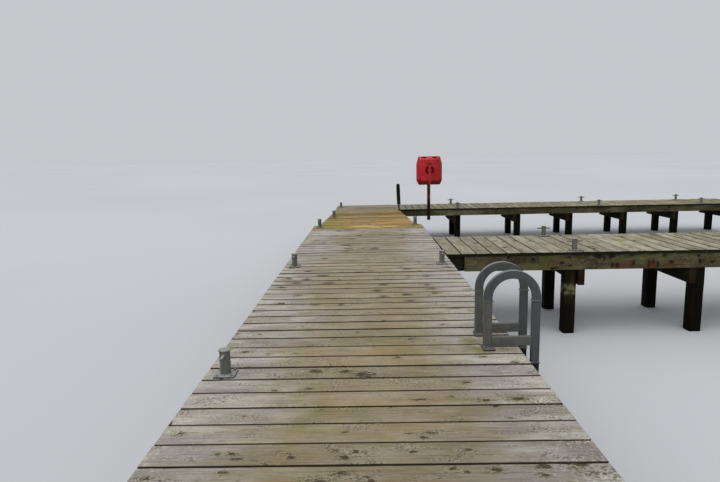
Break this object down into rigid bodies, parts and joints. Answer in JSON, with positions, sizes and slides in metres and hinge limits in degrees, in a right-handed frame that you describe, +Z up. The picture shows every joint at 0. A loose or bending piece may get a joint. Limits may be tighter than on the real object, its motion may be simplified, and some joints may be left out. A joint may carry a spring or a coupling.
{
  "type": "wooden jetty",
  "caption": "Timber lake jetty on square piles: straight walkway, fresh-boarded ramp to a lower deck, two side fingers, hooped ladder, mooring bollards and a lifebuoy housing.",
  "frame": {"origin": "middle of the jetty's box, at the water line where the piles end", "axes": "+X to the right along the fingers, +Y out along the walkway, +Z up"},
  "size_m": [13.77, 17.806, 2.807],
  "materials": {
    "weathered_boards": "weathered softwood, silver grey with warm patches",
    "fresh_boards": "fresh treated softwood, yellow tan with knots",
    "edge_timber": "treated softwood, olive brown with algae and rust marks",
    "under_timber": "treated softwood, dark and damp",
    "wet_piles": "treated softwood, nearly black where wet",
    "post_timber": "red brown stained timber, dark at its foot",
    "galvanised_steel": "dull galvanised steel",
    "ladder_steel": "dull mid grey, galvanised and weathered",
    "red_moulding": "moulded red plastic, sun-faded at its top edge",
    "black_plastic": "matt black plastic",
    "green_plastic": "dark green, dull"
  },
  "bodies": {
    "root": {"far_finger_boards": "weathered_boards", "far_finger_bollards": "galvanised_steel", "far_finger_crossheads": "under_timber", "far_finger_edge_beam_far": "edge_timber", "far_finger_edge_beam_near": "edge_timber", "far_finger_end_beam": "edge_timber", "far_finger_joist": "under_timber", "far_finger_piles": "wet_piles", "fresh_boards": "fresh_boards", "ladder_arches": "ladder_steel", "ladder_crossbars": "ladder_steel", "ladder_feet": "ladder_steel", "ladder_inner_legs": "ladder_steel", "ladder_rungs": "ladder_steel", "ladder_stiles": "ladder_steel", "lifebuoy_housing_back": "red_moulding", "lifebuoy_housing_cover": "red_moulding", "lifebuoy_post": "post_timber", "lifebuoy_post_packer": "edge_timber", "lifebuoy_straps": "galvanised_steel", "lower_bollards": "galvanised_steel", "lower_deck_boards": "weathered_boards", "lower_deck_crossheads": "under_timber", "lower_deck_edge_beams": "edge_timber", "lower_deck_end_beam": "edge_timber", "lower_deck_joists": "under_timber", "lower_deck_piles": "wet_piles", "near_finger_boards": "weathered_boards", "near_finger_bollards": "galvanised_steel", "near_finger_crossheads": "under_timber", "near_finger_edge_beam_far": "edge_timber", "near_finger_edge_beam_near": "edge_timber", "near_finger_end_beam": "edge_timber", "near_finger_joist": "under_timber", "near_finger_piles": "wet_piles", "ramp_crossheads": "under_timber", "ramp_edge_beams": "edge_timber", "ramp_joists": "under_timber", "ramp_piles": "wet_piles", "sleeved_post_band": "green_plastic", "sleeved_post_sleeve": "black_plastic", "sleeved_post_stem": "galvanised_steel", "walkway_boards": "weathered_boards", "walkway_bollards": "galvanised_steel", "walkway_crossheads": "under_timber", "walkway_edge_beams": "edge_timber", "walkway_joists": "under_timber", "walkway_piles": "wet_piles"}
  },
  "joints": []
}
